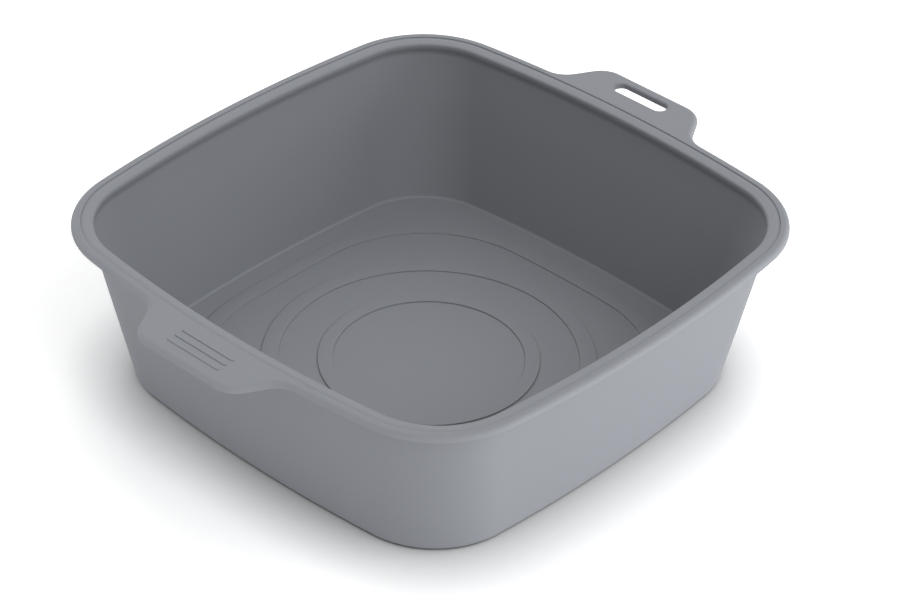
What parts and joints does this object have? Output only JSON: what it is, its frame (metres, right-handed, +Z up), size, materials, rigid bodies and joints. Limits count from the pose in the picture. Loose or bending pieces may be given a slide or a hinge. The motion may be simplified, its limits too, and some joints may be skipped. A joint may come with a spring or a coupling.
{
  "type": "pet bathtub",
  "caption": "Soft square bathing basin with bulging sides, round corners, a beaded rim, a slotted hanging tab, a plain grip tab and raised floor ridges.",
  "frame": {"origin": "on the ground, under the centre of the basin", "axes": "+Z up out of the open top; +X toward the tab with the hanging slot; -X toward the plain grip tab; +Y toward the left side"},
  "size_m": [0.2532, 0.22, 0.0672],
  "materials": {
    "silicone": "matte"
  },
  "bodies": {
    "root": {"basin_floor": "silicone", "basin_wall": "silicone", "rim_bead": "silicone", "rim_flange_left": "silicone", "rim_flange_right": "silicone", "hanging_tab": "silicone", "grip_tab": "silicone", "grip_ribs": "silicone", "floor_ridge_inner": "silicone", "floor_ridge_middle": "silicone", "floor_ridge_outer": "silicone"}
  },
  "joints": []
}
